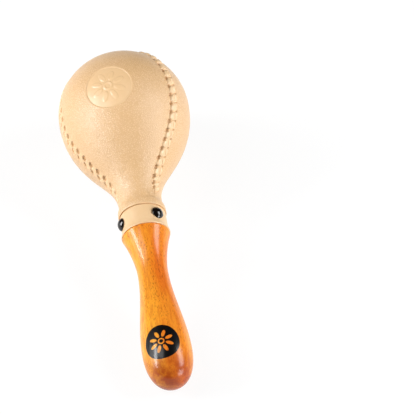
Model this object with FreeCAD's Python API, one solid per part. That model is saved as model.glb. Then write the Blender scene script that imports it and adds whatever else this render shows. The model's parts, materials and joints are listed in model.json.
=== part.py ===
# A maraca: a hollow moulded head with imitation laced seams, plugged by a turned wooden handle that
# three domed tacks hold in the collar, and a small load of loose pellets inside.
#
# It is drawn on its own axis first: x runs from the crown (0) to the butt of the handle, and an
# azimuth turns about x, from 0 on the upper side. The last step lays it down as it comes to rest,
# on the belly of the head and the swell of the handle.
import FreeCAD
import Part
import math
import os

from FreeCAD import Vector

# Head, outside: lengths along the axis and radii
CROWN_LENGTH = 45.0
HEAD_RADIUS = 45.0
TAPER_LENGTH = 76.0
NECK_RADIUS = 14.6
FLANGE_LENGTH = 10.4
FLANGE_RADIUS = 16.15
SLEEVE_LENGTH = 16.0
SLEEVE_RADIUS = 15.4
LIP_LENGTH = 5.0
LIP_RADIUS = 16.3
HEAD_WALL = 2.2

# How full each curve is: the share of its span that each end of it runs straight on
CROWN_FULLNESS = 0.51
CROWN_BELLY_FULLNESS = 0.585
TAPER_BELLY_FULLNESS = 0.51
TAPER_NECK_FULLNESS = 0.312
FLANGE_NECK_FULLNESS = 0.65
FLANGE_RIM_FULLNESS = 0.80
LIP_FULLNESS = 0.45

# Laced seams: two at the sides of the front panel and one behind. Each has its azimuth, the degrees
# that it bends aside by towards the crown, and the pitch of its pads.
SEAMS = ((80.0, -10.0, 6.9), (196.0, 0.0, 6.9), (-48.0, 10.0, 6.6))
BEND_START = 30.0
BEND_END = 100.0
SEAM_START = 16.0
SEAM_END = 146.8
TAIL_PAD_LENGTH = 3.6
SEAM_WIDTH = 6.0
SEAM_VALLEY = 0.5
GROOVE_WIDTH = 0.6
PAD_HEIGHT = 0.95
PAD_STEP = 0.35
PAD_ROOT = 0.7
PAD_BEVEL = 0.8
PAD_SKEW = -23.0
LACE_HOLE_RADIUS = 0.85
LACE_HOLE_DEPTH = 0.8
LACE_HOLE_SIDES = 6

# Roundel on the front of the head
ROUNDEL_AZIMUTH = 15.0
ROUNDEL_AT = 51.5
ROUNDEL_RADIUS = 15.8
ROUNDEL_DEPTH = 0.35

# Handle
SPIGOT_LENGTH = 31.0
SPIGOT_CLEARANCE = 0.12
SPIGOT_CHAMFER = 1.5
SHOULDER_RADIUS = 15.85
SHOULDER_ROUND = 0.7
SHOULDER_DROP = 0.3
WAIST_LENGTH = 30.2
WAIST_RADIUS = 10.0
GRIP_LENGTH = 59.8
SWELL_RADIUS = 16.0
BUTT_LENGTH = 26.1
SHOULDER_FULLNESS = 0.02
WAIST_UPPER_FULLNESS = 0.465
GRIP_FULLNESS = 0.345
BUTT_SIDE_FULLNESS = 0.56
BUTT_END_FULLNESS = 0.71

# Tacks
TACK_AZIMUTHS = (75.0, 200.0, -35.0)
TACK_SETBACK = 9.0
TACK_HEAD_RADIUS = 4.3
TACK_HEAD_HEIGHT = 2.7
TACK_RIM = 0.5
TACK_SHANK_RADIUS = 0.9
TACK_SHANK_LENGTH = 10.0
TACK_POINT_LENGTH = 1.6
TACK_HOLE_CLEARANCE = 0.05

# Loose pellets, cut from rod, lying at the low side of the head
PELLET_RADIUS = 2.5
PELLET_LENGTH = 5.0
PELLET_RINGS = 2
PELLET_PITCH = 7.4
PELLET_SEAT_GAP = 0.12
PELLET_TURN = 137.5

# Stations along the axis that follow from the lengths
BELLY_AT = CROWN_LENGTH
NECK_AT = BELLY_AT + TAPER_LENGTH
FLANGE_AT = NECK_AT + FLANGE_LENGTH
RIM_AT = FLANGE_AT + SLEEVE_LENGTH
WAIST_AT = RIM_AT + WAIST_LENGTH
SWELL_AT = WAIST_AT + GRIP_LENGTH
BUTT_AT = SWELL_AT + BUTT_LENGTH
BORE_RADIUS = NECK_RADIUS - HEAD_WALL
SPIGOT_RADIUS = BORE_RADIUS - SPIGOT_CLEARANCE
TACK_AT = RIM_AT - TACK_SETBACK

ORIGIN = Vector(0, 0, 0)
AXIS = Vector(1, 0, 0)
ACROSS = Vector(0, 1, 0)
UP = Vector(0, 0, 1)


def at(x, r):
    """A point of a turned outline: x along the axis, r out from it on the upper side."""
    return Vector(x, 0, r)


def curve(*poles):
    bezier = Part.BezierCurve()
    bezier.setPoles(list(poles))
    return bezier


def line(start, end):
    return Part.LineSegment(start, end)


def turned(curves):
    """The solid turned from an open outline whose two ends lie on the axis."""
    start = curves[0].value(curves[0].FirstParameter)
    end = curves[-1].value(curves[-1].LastParameter)
    closed = [*curves, line(end, start)]
    face = Part.Face(Part.Wire([c.toShape() for c in closed]))
    return face.revolve(ORIGIN, AXIS, 360)


def head_curves(inset):
    """Crown and taper of the head, a given depth under its skin."""
    belly = HEAD_RADIUS - inset
    neck = NECK_RADIUS - inset
    crown_length = CROWN_LENGTH - inset
    crown = curve(
        at(inset, 0),
        at(inset, belly * CROWN_FULLNESS),
        at(BELLY_AT - crown_length * CROWN_BELLY_FULLNESS, belly),
        at(BELLY_AT, belly),
    )
    taper = curve(
        at(BELLY_AT, belly),
        at(BELLY_AT + TAPER_LENGTH * TAPER_BELLY_FULLNESS, belly),
        at(NECK_AT - TAPER_LENGTH * TAPER_NECK_FULLNESS, neck),
        at(NECK_AT, neck),
    )
    return crown, taper


def handle_curves():
    """Waist, grip and butt of the handle."""
    shoulder_end = RIM_AT + SHOULDER_ROUND
    waist_span = WAIST_AT - shoulder_end
    waist = curve(
        at(shoulder_end, SHOULDER_RADIUS),
        at(shoulder_end + waist_span * SHOULDER_FULLNESS, SHOULDER_RADIUS - SHOULDER_DROP),
        at(WAIST_AT - waist_span * WAIST_UPPER_FULLNESS, WAIST_RADIUS),
        at(WAIST_AT, WAIST_RADIUS),
    )
    grip = curve(
        at(WAIST_AT, WAIST_RADIUS),
        at(WAIST_AT + GRIP_LENGTH * GRIP_FULLNESS, WAIST_RADIUS),
        at(SWELL_AT - GRIP_LENGTH * GRIP_FULLNESS, SWELL_RADIUS),
        at(SWELL_AT, SWELL_RADIUS),
    )
    butt = curve(
        at(SWELL_AT, SWELL_RADIUS),
        at(SWELL_AT + BUTT_LENGTH * BUTT_SIDE_FULLNESS, SWELL_RADIUS),
        at(BUTT_AT, SWELL_RADIUS * BUTT_END_FULLNESS),
        at(BUTT_AT, 0),
    )
    return waist, grip, butt


def point_and_tangent(curves, distance):
    """Where a run of joined curves has gone a distance along itself, and which way it points there."""
    for piece in curves:
        length = piece.length()
        if distance <= length:
            break
        distance -= length
    distance = min(distance, length)
    u = piece.parameterAtDistance(distance, piece.FirstParameter)
    return piece.value(u), piece.tangent(u)[0]


def placed(shape, point, tangent, azimuth, heading=0.0):
    """Stands a shape on the outline: its z goes out of the surface and its x a heading off the tangent."""
    pitch = math.degrees(math.atan2(tangent.z, tangent.x))
    copy = shape.copy()
    copy.rotate(ORIGIN, UP, heading)
    copy.rotate(ORIGIN, ACROSS, -pitch)
    copy.translate(point)
    copy.rotate(ORIGIN, AXIS, azimuth)
    return copy


def lozenge(side, length, inset, z):
    """One level of a pad: a slanted four-sided ring on one side (-1 or 1) of the seam's middle."""
    slant = math.tan(math.radians(PAD_SKEW))
    near = side * (SEAM_VALLEY / 2 + inset)
    far = side * (SEAM_WIDTH / 2 - inset)
    half = length / 2 - inset
    corners = [
        Vector(near * slant - half, near, z),
        Vector(near * slant + half, near, z),
        Vector(far * slant + half, far, z),
        Vector(far * slant - half, far, z),
    ]
    return Part.makePolygon(corners + corners[:1])


def seam_pad(side, pitch):
    """A puffed pad, lofted through levels that draw in as they rise."""
    length = pitch - GROOVE_WIDTH
    levels = [
        lozenge(side, length, 0.0, -PAD_ROOT),
        lozenge(side, length, 0.0, PAD_STEP),
        lozenge(side, length, PAD_BEVEL * 0.4, PAD_STEP + (PAD_HEIGHT - PAD_STEP) * 0.7),
        lozenge(side, length, PAD_BEVEL, PAD_HEIGHT),
    ]
    return Part.makeLoft(levels, True, True)


def lace_hole(side):
    """The drilling tool for the hole at one end of a groove."""
    y = side * (SEAM_WIDTH / 2)
    x = y * math.tan(math.radians(PAD_SKEW))
    corners = []
    for i in range(LACE_HOLE_SIDES):
        turn = 2 * math.pi * i / LACE_HOLE_SIDES
        corners.append(Vector(x + LACE_HOLE_RADIUS * math.cos(turn), y + LACE_HOLE_RADIUS * math.sin(turn),
                              -LACE_HOLE_DEPTH))
    face = Part.Face(Part.makePolygon(corners + corners[:1]))
    return face.extrude(UP * (LACE_HOLE_DEPTH + PAD_HEIGHT))


def bent(distance):
    """The share of a seam's bend that it has at a distance down the head, and its change per mm."""
    span = BEND_END - BEND_START
    t = min(max((BEND_END - distance) / span, 0.0), 1.0)
    return t * t * (3 - 2 * t), -6 * t * (1 - t) / span


def along_seam(tools, distances, azimuth, bend):
    """A copy of each tool at each distance down a seam."""
    curves = head_curves(0)
    copies = []
    for distance in distances:
        point, tangent = point_and_tangent(curves, distance)
        share, change = bent(distance)
        sideways = math.radians(bend * change) * point.z
        heading = -math.degrees(math.atan(sideways))
        copies += [placed(tool, point, tangent, azimuth + bend * share, heading) for tool in tools]
    return copies


def seam_pads():
    """The pads of every seam, each row ending in a short one."""
    pads = []
    for azimuth, bend, pitch in SEAMS:
        count = int((SEAM_END - SEAM_START) // pitch)
        middles = [SEAM_END - pitch * (i + 0.5) for i in range(count)]
        pads += along_seam([seam_pad(-1, pitch), seam_pad(1, pitch)], middles, azimuth, bend)
        tail = [SEAM_END + TAIL_PAD_LENGTH / 2]
        pads += along_seam([seam_pad(-1, TAIL_PAD_LENGTH), seam_pad(1, TAIL_PAD_LENGTH)], tail, azimuth, bend)
    return pads


def seam_holes():
    """The tools for the holes at both ends of every groove."""
    holes = []
    for azimuth, bend, pitch in SEAMS:
        count = int((SEAM_END - SEAM_START) // pitch)
        grooves = [SEAM_END - pitch * i for i in range(count + 1)]
        holes += along_seam([lace_hole(-1), lace_hole(1)], grooves, azimuth, bend)
    return holes


def head_blank():
    """The head without its hollow: crown, taper, flange and collar sleeve."""
    crown, taper = head_curves(0)
    flange = curve(
        at(NECK_AT, NECK_RADIUS),
        at(NECK_AT + FLANGE_LENGTH * FLANGE_NECK_FULLNESS, NECK_RADIUS),
        at(FLANGE_AT - FLANGE_LENGTH * FLANGE_RIM_FULLNESS, FLANGE_RADIUS),
        at(FLANGE_AT, FLANGE_RADIUS),
    )
    lip_at = RIM_AT - LIP_LENGTH
    lip = curve(
        at(lip_at, SLEEVE_RADIUS),
        at(lip_at + LIP_LENGTH * LIP_FULLNESS, SLEEVE_RADIUS),
        at(RIM_AT - LIP_LENGTH * LIP_FULLNESS, LIP_RADIUS),
        at(RIM_AT, LIP_RADIUS),
    )
    return turned([
        crown,
        taper,
        flange,
        line(at(FLANGE_AT, FLANGE_RADIUS), at(FLANGE_AT, SLEEVE_RADIUS)),
        line(at(FLANGE_AT, SLEEVE_RADIUS), at(lip_at, SLEEVE_RADIUS)),
        lip,
        line(at(RIM_AT, LIP_RADIUS), at(RIM_AT, 0)),
    ])


def head_hollow():
    crown, taper = head_curves(HEAD_WALL)
    return turned([
        crown,
        taper,
        line(at(NECK_AT, BORE_RADIUS), at(RIM_AT, BORE_RADIUS)),
        line(at(RIM_AT, BORE_RADIUS), at(RIM_AT, 0)),
    ])


def roundel_tool():
    """The tool that sinks the roundel: a plug that stops its depth under the skin."""
    core = turned([*head_curves(ROUNDEL_DEPTH),
                   line(at(NECK_AT, NECK_RADIUS - ROUNDEL_DEPTH), at(NECK_AT, 0))])
    tool = Part.makeCylinder(ROUNDEL_RADIUS, HEAD_RADIUS, at(ROUNDEL_AT, HEAD_RADIUS / 2), UP).cut(core)
    tool.rotate(ORIGIN, AXIS, ROUNDEL_AZIMUTH)
    return tool


def tack_hole(radius):
    """The hole that a tack's shank takes through the sleeve and into the spigot."""
    depth = TACK_SHANK_LENGTH + TACK_HOLE_CLEARANCE
    return Part.makeCylinder(radius, depth, at(TACK_AT, SLEEVE_RADIUS), -UP)


def at_tacks(tool):
    """A copy of the tool where each tack stands."""
    copies = []
    for azimuth in TACK_AZIMUTHS:
        copy = tool.copy()
        copy.rotate(ORIGIN, AXIS, azimuth)
        copies.append(copy)
    return copies


def make_head_shell():
    solid = head_blank().multiFuse(seam_pads())
    holes = seam_holes()
    holes += at_tacks(tack_hole(TACK_SHANK_RADIUS + TACK_HOLE_CLEARANCE))
    holes.append(roundel_tool())
    holes.append(head_hollow())
    return solid.cut(holes)


def make_handle():
    top = RIM_AT - SPIGOT_LENGTH
    round_centre = at(RIM_AT + SHOULDER_ROUND, SHOULDER_RADIUS - SHOULDER_ROUND)
    diagonal = SHOULDER_ROUND * math.sqrt(0.5)
    shoulder = Part.Arc(
        at(RIM_AT, SHOULDER_RADIUS - SHOULDER_ROUND),
        round_centre + at(-diagonal, diagonal),
        at(RIM_AT + SHOULDER_ROUND, SHOULDER_RADIUS),
    )
    blank = turned([
        line(at(top, 0), at(top, SPIGOT_RADIUS - SPIGOT_CHAMFER)),
        line(at(top, SPIGOT_RADIUS - SPIGOT_CHAMFER), at(top + SPIGOT_CHAMFER, SPIGOT_RADIUS)),
        line(at(top + SPIGOT_CHAMFER, SPIGOT_RADIUS), at(RIM_AT, SPIGOT_RADIUS)),
        line(at(RIM_AT, SPIGOT_RADIUS), at(RIM_AT, SHOULDER_RADIUS - SHOULDER_ROUND)),
        shoulder,
        *handle_curves(),
    ])
    return blank.cut(at_tacks(tack_hole(TACK_SHANK_RADIUS)))


def make_tack():
    """A domed tack standing on the sleeve at azimuth 0, its shank pointing at the axis."""
    dome_start = SLEEVE_RADIUS + TACK_RIM
    crown = SLEEVE_RADIUS + TACK_HEAD_HEIGHT
    tip = SLEEVE_RADIUS - TACK_SHANK_LENGTH
    rise = TACK_HEAD_HEIGHT - TACK_RIM
    ball = (TACK_HEAD_RADIUS ** 2 + rise ** 2) / (2 * rise)
    half_turn = math.asin(TACK_HEAD_RADIUS / ball) / 2
    middle = Vector(ball * math.sin(half_turn), 0, crown - ball + ball * math.cos(half_turn))
    outline = [
        line(Vector(0, 0, tip), Vector(TACK_SHANK_RADIUS, 0, tip + TACK_POINT_LENGTH)),
        line(Vector(TACK_SHANK_RADIUS, 0, tip + TACK_POINT_LENGTH),
             Vector(TACK_SHANK_RADIUS, 0, SLEEVE_RADIUS)),
        line(Vector(TACK_SHANK_RADIUS, 0, SLEEVE_RADIUS), Vector(TACK_HEAD_RADIUS, 0, SLEEVE_RADIUS)),
        line(Vector(TACK_HEAD_RADIUS, 0, SLEEVE_RADIUS), Vector(TACK_HEAD_RADIUS, 0, dome_start)),
        Part.Arc(Vector(TACK_HEAD_RADIUS, 0, dome_start), middle, Vector(0, 0, crown)),
        line(Vector(0, 0, crown), Vector(0, 0, tip)),
    ]
    face = Part.Face(Part.Wire([c.toShape() for c in outline]))
    tack = face.revolve(ORIGIN, UP, 360)
    tack.translate(Vector(TACK_AT, 0, 0))
    return tack


def lie_angle():
    """How far the axis leans when belly and swell both touch the ground, in degrees."""
    def depth(curves, lean):
        deepest = 0.0
        for piece in curves:
            for i in range(201):
                p = piece.value(i / 200.0)
                deepest = max(deepest, p.z * math.cos(lean) + p.x * math.sin(lean))
        return deepest

    low, high = 0.0, math.radians(45)
    head, handle = head_curves(0), handle_curves()
    for _ in range(50):
        lean = (low + high) / 2
        if depth(head, lean) > depth(handle, lean):
            low = lean
        else:
            high = lean
    return math.degrees(lean)


def make_shot(lean):
    """Pellets in rings round the lowest point inside the head, each lying on the wall its own way."""
    inner = head_curves(HEAD_WALL)
    total = sum(c.length() for c in inner)
    slope = math.tan(math.radians(lean))
    low, high = 0.0, total
    for _ in range(50):
        middle = (low + high) / 2
        _, tangent = point_and_tangent(inner, middle)
        if tangent.z > -slope * tangent.x:
            low = middle
        else:
            high = middle
    pellets = []
    for ring in range(PELLET_RINGS + 1):
        count = max(1, 6 * ring)
        for i in range(count):
            turn = 2 * math.pi * i / count
            point, tangent = point_and_tangent(inner, middle + ring * PELLET_PITCH * math.cos(turn))
            azimuth = 180.0 + math.degrees(ring * PELLET_PITCH * math.sin(turn) / point.z)
            pellet = Part.makeCylinder(PELLET_RADIUS, PELLET_LENGTH, Vector(-PELLET_LENGTH / 2, 0, 0), AXIS)
            pellet.rotate(ORIGIN, UP, PELLET_TURN * len(pellets))
            pellet.translate(-UP * (PELLET_RADIUS + PELLET_SEAT_GAP))
            pellets.append(placed(pellet, point, tangent, azimuth))
    return Part.makeCompound(pellets)


def main():
    os.makedirs("parts", exist_ok=True)
    lean = lie_angle()
    nodes = {"head_shell": make_head_shell(), "handle": make_handle(), "shot": make_shot(lean)}
    for i, tack in enumerate(at_tacks(make_tack()), start=1):
        nodes["tack_%d" % i] = tack
    for shape in nodes.values():
        shape.rotate(ORIGIN, ACROSS, lean)
    box = Part.makeCompound(list(nodes.values())).optimalBoundingBox(False)
    shift = Vector(-(box.XMin + box.XMax) / 2, -(box.YMin + box.YMax) / 2, -box.ZMin)
    for name, shape in nodes.items():
        shape.translate(shift)
        shape.exportStep("parts/%s.step" % name)
        print(name, len(shape.Solids), shape.isValid(), round(shape.Volume, 1))
    print("leans %.3f degrees, moved by %.3f %.3f %.3f" % (lean, shift.x, shift.y, shift.z))


main()
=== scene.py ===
"""Looks of a maraca that lies on a pale surface, dressed over its measured model.

The instrument is drawn on its own axis, in millimetres: x runs from the crown of the head to the
butt of the handle, and an azimuth turns about x, from 0 on the upper side. Each mesh is then laid
down along the line that the measured model's grip states, in metres.
"""
import json
import logging
import math
from dataclasses import dataclass, field
from enum import Enum
from typing import Any, ClassVar, Iterable, Sequence

import bmesh
import bpy
import numpy as np
from bpy.types import Material, Mesh, Node, NodeSocket, NodeTree, Object
from mathutils import Matrix, Vector
from mathutils.geometry import delaunay_2d_cdt

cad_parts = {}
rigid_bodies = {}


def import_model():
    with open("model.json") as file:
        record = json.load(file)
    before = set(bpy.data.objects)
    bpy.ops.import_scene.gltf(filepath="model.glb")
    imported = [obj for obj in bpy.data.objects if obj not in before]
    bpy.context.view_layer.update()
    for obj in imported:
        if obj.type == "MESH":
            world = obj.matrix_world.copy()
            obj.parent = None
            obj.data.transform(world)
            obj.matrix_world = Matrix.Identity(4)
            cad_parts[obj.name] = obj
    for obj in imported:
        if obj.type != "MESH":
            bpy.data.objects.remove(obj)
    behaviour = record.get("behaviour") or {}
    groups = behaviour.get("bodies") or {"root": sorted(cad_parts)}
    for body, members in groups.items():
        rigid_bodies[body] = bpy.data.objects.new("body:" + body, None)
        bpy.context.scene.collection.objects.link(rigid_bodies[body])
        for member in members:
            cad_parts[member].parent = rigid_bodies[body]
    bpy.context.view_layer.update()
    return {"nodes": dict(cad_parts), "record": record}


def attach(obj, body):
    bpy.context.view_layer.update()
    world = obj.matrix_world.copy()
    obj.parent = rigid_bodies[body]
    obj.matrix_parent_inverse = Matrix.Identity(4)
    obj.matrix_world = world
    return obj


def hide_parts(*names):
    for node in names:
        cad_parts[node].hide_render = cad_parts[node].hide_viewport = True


LOG = logging.getLogger("maraca")
MM = 0.001
TURN = 2 * math.pi
WHITE = (1.0, 1.0, 1.0, 1.0)
BODY = "root"
FAR = 1e3

Point = tuple[float, float]
Tone = tuple[int, int, int]


class Light(Enum):
    """The lamps of the studio, by where they stand for someone behind the camera."""

    LEFT = "left"
    RIGHT = "right"
    SIDE = "side"
    TOP = "top"
    LOW = "low"


class Slot(Enum):
    """The material slots of the measured model's nodes that are replaced."""

    HEAD = "head_plastic"
    HANDLE = "handle_wood"


def ink(tone: Tone) -> tuple[float, ...]:
    """Turns a screen colour into the linear one that shaders take.

    Args:
        tone: Red, green and blue, each from 0 to 255.

    Returns:
        Red, green, blue and alpha, each from 0 to 1.
    """
    shares = [value / 255 for value in tone]
    return (*(s / 12.92 if s <= 0.04045 else ((s + 0.055) / 1.055) ** 2.4 for s in shares), 1.0)


class Value:
    """An output in a node tree, on which sums are written as sums."""

    def __init__(self, graph: "Graph", socket: NodeSocket) -> None:
        """Takes the graph and the output's socket."""
        self.graph, self.socket = graph, socket

    def __add__(self, other: Any) -> "Value":
        """The sum of this and a number or another value."""
        return self.graph.math("ADD", self, other)

    def __sub__(self, other: Any) -> "Value":
        """This less another."""
        return self.graph.math("SUBTRACT", self, other)

    def __rsub__(self, other: float) -> "Value":
        """A number less this."""
        return self.graph.math("SUBTRACT", other, self)

    def __mul__(self, other: Any) -> "Value":
        """This times another."""
        return self.graph.math("MULTIPLY", self, other)

    def __truediv__(self, other: Any) -> "Value":
        """This over another."""
        return self.graph.math("DIVIDE", self, other)

    def __pow__(self, other: Any) -> "Value":
        """This to the power of another."""
        return self.graph.math("POWER", self, other)


class Graph:
    """A node tree, with short ways to add to it. Its sums have the names that numpy gives them."""

    def __init__(self, tree: NodeTree) -> None:
        """Takes the tree to write to."""
        self.tree = tree

    def feed(self, socket: NodeSocket, value: Any) -> None:
        """Links a value into an input, or sets the input itself.

        Args:
            socket: The input.
            value: A value of the same tree, or something plain.
        """
        if isinstance(value, Value):
            self.tree.links.new(value.socket, socket)
        else:
            socket.default_value = value

    def add(self, kind: str, inputs: dict[Any, Any] | None = None, **settings: Any) -> Node:
        """Adds a node.

        Args:
            kind: The node's type.
            inputs: What its inputs take, by name or number.
            **settings: Properties of the node.

        Returns:
            The node.
        """
        node = self.tree.nodes.new(kind)
        for name, value in settings.items():
            setattr(node, name, value)
        for key, value in (inputs or {}).items():
            self.feed(node.inputs[key], value)
        return node

    def out(self, kind: str, inputs: dict[Any, Any] | None = None, output: Any = 0, **settings: Any) -> Value:
        """Adds a node as add does, and gives one of its outputs, by name or number."""
        return Value(self, self.add(kind, inputs, **settings).outputs[output])

    def math(self, operation: str, *values: Any, clamp: bool = False) -> Value:
        """Adds a Math node, with its result kept from 0 to 1 where it is to be clamped."""
        return self.out("ShaderNodeMath", dict(enumerate(values)), operation=operation, use_clamp=clamp)

    def vector(self, operation: str, *values: Any, output: int = 0) -> Value:
        """Adds a Vector Math node."""
        return self.out("ShaderNodeVectorMath", dict(enumerate(values)), output, operation=operation)

    def part(self, vector: Value, letter: str) -> Value:
        """One coordinate of a vector: X, Y or Z."""
        return self.out("ShaderNodeSeparateXYZ", {0: vector}, letter)

    def abs(self, value: Value) -> Value:
        """A value without its sign."""
        return self.math("ABSOLUTE", value)

    def sin(self, turn: Value) -> Value:
        """The sine of an angle in radians."""
        return self.math("SINE", turn)

    def cos(self, turn: Value) -> Value:
        """The cosine of an angle in radians."""
        return self.math("COSINE", turn)

    def mod(self, value: Value, step: float) -> Value:
        """What is left of a value above 0 once whole steps are taken off."""
        return self.math("MODULO", value, step)

    def arctan2(self, up: Value, out: Value) -> Value:
        """The angle of the direction that runs so far up and so far out."""
        return self.math("ARCTAN2", up, out)

    def hypot(self, first: Value, second: Value) -> Value:
        """The length of a pair of coordinates."""
        return self.math("SQRT", first * first + second * second)

    def maximum(self, first: Value, second: Value) -> Value:
        """The larger of two values."""
        return self.math("MAXIMUM", first, second)

    def smooth(self, value: Value, low: Any, high: Any, at_low: float = 0.0, at_high: float = 1.0) -> Value:
        """Moves gently from one number to another as a value goes from low to high.

        Args:
            value: The value.
            low: Where the move starts.
            high: Where it ends, which may lie below its start.
            at_low: The first number.
            at_high: The second.

        Returns:
            The number.
        """
        inputs = {"Value": value, "From Min": low, "From Max": high, "To Min": at_low, "To Max": at_high}
        return self.out("ShaderNodeMapRange", inputs, interpolation_type="SMOOTHSTEP")

    def mix(self, share: Any, first: Any, second: Any) -> Value:
        """Mixes two colours, with as much of the second as the share says."""
        return self.out("ShaderNodeMix", {0: share, 6: first, 7: second}, 2, data_type="RGBA",
                        clamp_factor=True)


class Surface(Graph):
    """The graph of a new material, with its principled shader."""

    def __init__(self, name: str) -> None:
        """Starts a material.

        Args:
            name: The material's name.
        """
        self.material = bpy.data.materials.new(name)
        self.material.use_nodes = True
        super().__init__(self.material.node_tree)
        self.shader = self.tree.nodes["Principled BSDF"]

    def place(self) -> Value:
        """Where a point lies on the object, in metres."""
        return self.out("ShaderNodeTexCoord", output="Object")

    def noted(self, name: str, output: str = "Fac") -> Value:
        """What the mesh notes at a point under a name."""
        return self.out("ShaderNodeAttribute", output=output, attribute_name=name)

    def bump(self, strength: float, depth: float, height: Value) -> Value:
        """A shading normal that follows a relief of a depth in millimetres."""
        return self.out("ShaderNodeBump", {"Strength": strength, "Distance": depth * MM, "Height": height})

    def finished(self, inputs: dict[str, Any]) -> Material:
        """Feeds the shader's inputs.

        Args:
            inputs: What they take, by name.

        Returns:
            The material.
        """
        for name, value in inputs.items():
            self.feed(self.shader.inputs[name], value)
        return self.material


@dataclass(frozen=True)
class Pattern:
    """A noise: its cells per unit along x and across it, and the part of its range that shows."""

    along: float
    across: float
    detail: float
    roughness: float
    low: float = 0.0
    high: float = 1.0

    def noise(self, graph: Graph, place: Value) -> Value:
        """The plain noise, from 0 to 1.

        Args:
            graph: The graph that it is added to.
            place: Where each point lies.

        Returns:
            The noise at the point.
        """
        cells = graph.vector("MULTIPLY", place, (self.along, self.across, self.across))
        inputs = {"Vector": cells, "Scale": 1.0, "Detail": self.detail, "Roughness": self.roughness}
        return graph.out("ShaderNodeTexNoise", inputs)

    def share(self, graph: Graph, place: Value, least: float = 0.0) -> Value:
        """How strongly the pattern shows at a place, from the least to 1."""
        return graph.smooth(self.noise(graph, place), self.low, self.high, least)


@dataclass(frozen=True)
class Rosette:
    """A plain ornament of petals round a ring, in a disc. Lengths are in millimetres."""

    petals: int = 8
    petal_at: float = 5.6
    petal_half_length: float = 2.5
    petal_half_width: float = 1.15
    ring_radius: float = 1.75
    ring_width: float = 0.9

    def inside(self, sums: Any, across: Any, along: Any, scale: float = 1.0) -> Any:
        """How far inside the ornament's outline points are, with those outside it below 0.

        Args:
            sums: What does the sums: numpy on arrays, or a graph on its own values.
            across: One coordinate of the points.
            along: The other.
            scale: How much larger the ornament is than its own sizes.

        Returns:
            The distances, in millimetres.
        """
        fold = TURN / self.petals
        radius = sums.hypot(across, along)
        turn = sums.mod(sums.arctan2(along, across) + TURN, fold) - fold / 2
        out = (radius * sums.cos(turn) - self.petal_at * scale) / self.petal_half_length
        reach = sums.hypot(out, radius * sums.sin(turn) / self.petal_half_width)
        ring = self.ring_width * scale / 2 - sums.abs(radius - self.ring_radius * scale)
        return sums.maximum((scale - reach) * self.petal_half_width, ring)


@dataclass(frozen=True)
class GrainedPlastic:
    """Ivory moulded plastic with a fine leather grain, satin where it is smooth."""

    tone: Tone = (233, 195, 147)
    pale_tone: Tone = (238, 203, 161)
    # Painted shade: the darker tone painted into the hollows of the grain.
    hollow_shade_tone: Tone = (212, 167, 116)
    # Painted highlight: the paler tone painted on the raised pad tops.
    wear_and_highlight_tone: Tone = (247, 220, 180)
    # Painted shade: the dark tone painted into the pits, grooves, front edge line and the groove under the
    # flange.
    painted_shade_tone: Tone = (158, 104, 60)
    pale_share: float = 0.55
    hollow_shade_share: float = 0.6
    pad_highlight_share: float = 0.25
    painted_shade_share: float = 0.75
    patches: Pattern = Pattern(45.0, 45.0, 4.0, 0.6, 0.35, 0.68)
    speckle: Pattern = Pattern(1520.0, 1520.0, 3.0, 0.6, 0.2, 0.8)
    cell: float = 1.25
    cell_edge: float = 0.42
    warp_scale: float = 0.45
    warp_reach: float = 0.9
    warp_detail: float = 2.0
    cell_height: float = 0.7
    speckle_height: float = 0.5
    hollow_from: float = 0.75
    hollow_to: float = 0.25
    grain_depth: float = 0.18
    least_roughness: float = 0.31
    most_roughness: float = 0.41
    refraction: float = 1.6

    def pebbles(self, surface: Surface, place: Value) -> Value:
        """The cells of the grain, with uneven outlines.

        Args:
            surface: The material's graph.
            place: Where each point lies, in metres.

        Returns:
            How high the point stands in its cell, from 0 to 1.
        """
        per_metre = 1 / (self.cell * MM)
        fineness = {"Vector": place, "Scale": self.warp_scale * per_metre, "Detail": self.warp_detail}
        warp = surface.out("ShaderNodeTexNoise", fineness, "Color")
        reach = self.warp_reach * self.cell * MM
        bent = surface.vector("ADD", place, surface.vector("MULTIPLY", warp, (reach, reach, reach)))
        cells = surface.out("ShaderNodeTexVoronoi", {"Vector": bent, "Scale": per_metre}, "Distance",
                            feature="DISTANCE_TO_EDGE")
        return surface.smooth(cells, 0.0, self.cell_edge)

    def material(self) -> Material:
        """Builds the material. The mesh notes where it is grained, where a painted highlight pales the pad
        tops, and where painted shade darkens the pits, grooves, front edge line and flange groove.

        Returns:
            The material.
        """
        surface = Surface("ivory_plastic")
        place, grain = surface.place(), surface.noted("grain")
        speckle = self.speckle.noise(surface, place)
        relief = self.pebbles(surface, place) * self.cell_height + speckle * self.speckle_height
        # Painted shade: the grain's hollows are darkened in the colour, on top of the bump that sinks them.
        low = surface.smooth(relief, self.hollow_from, self.hollow_to) * grain
        tone = ink(self.tone)
        for share, other in ((self.patches.share(surface, place) * self.pale_share, self.pale_tone),
                             (low * self.hollow_shade_share, self.hollow_shade_tone),
                             # Painted highlight on the raised pad tops.
                             (surface.noted("wear_and_highlight") * self.pad_highlight_share, self.wear_and_highlight_tone),
                             # Painted shade in the pits, grooves, front edge line and flange groove.
                             (surface.noted("painted_shade") * self.painted_shade_share, self.painted_shade_tone)):
            tone = surface.mix(share, tone, ink(other))
        return surface.finished({
            "Base Color": tone, "IOR": self.refraction,
            "Roughness": surface.smooth(speckle, self.speckle.low, self.speckle.high, self.least_roughness,
                                        self.most_roughness),
            "Normal": surface.bump(1.0, self.grain_depth, relief * grain),
        })


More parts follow.
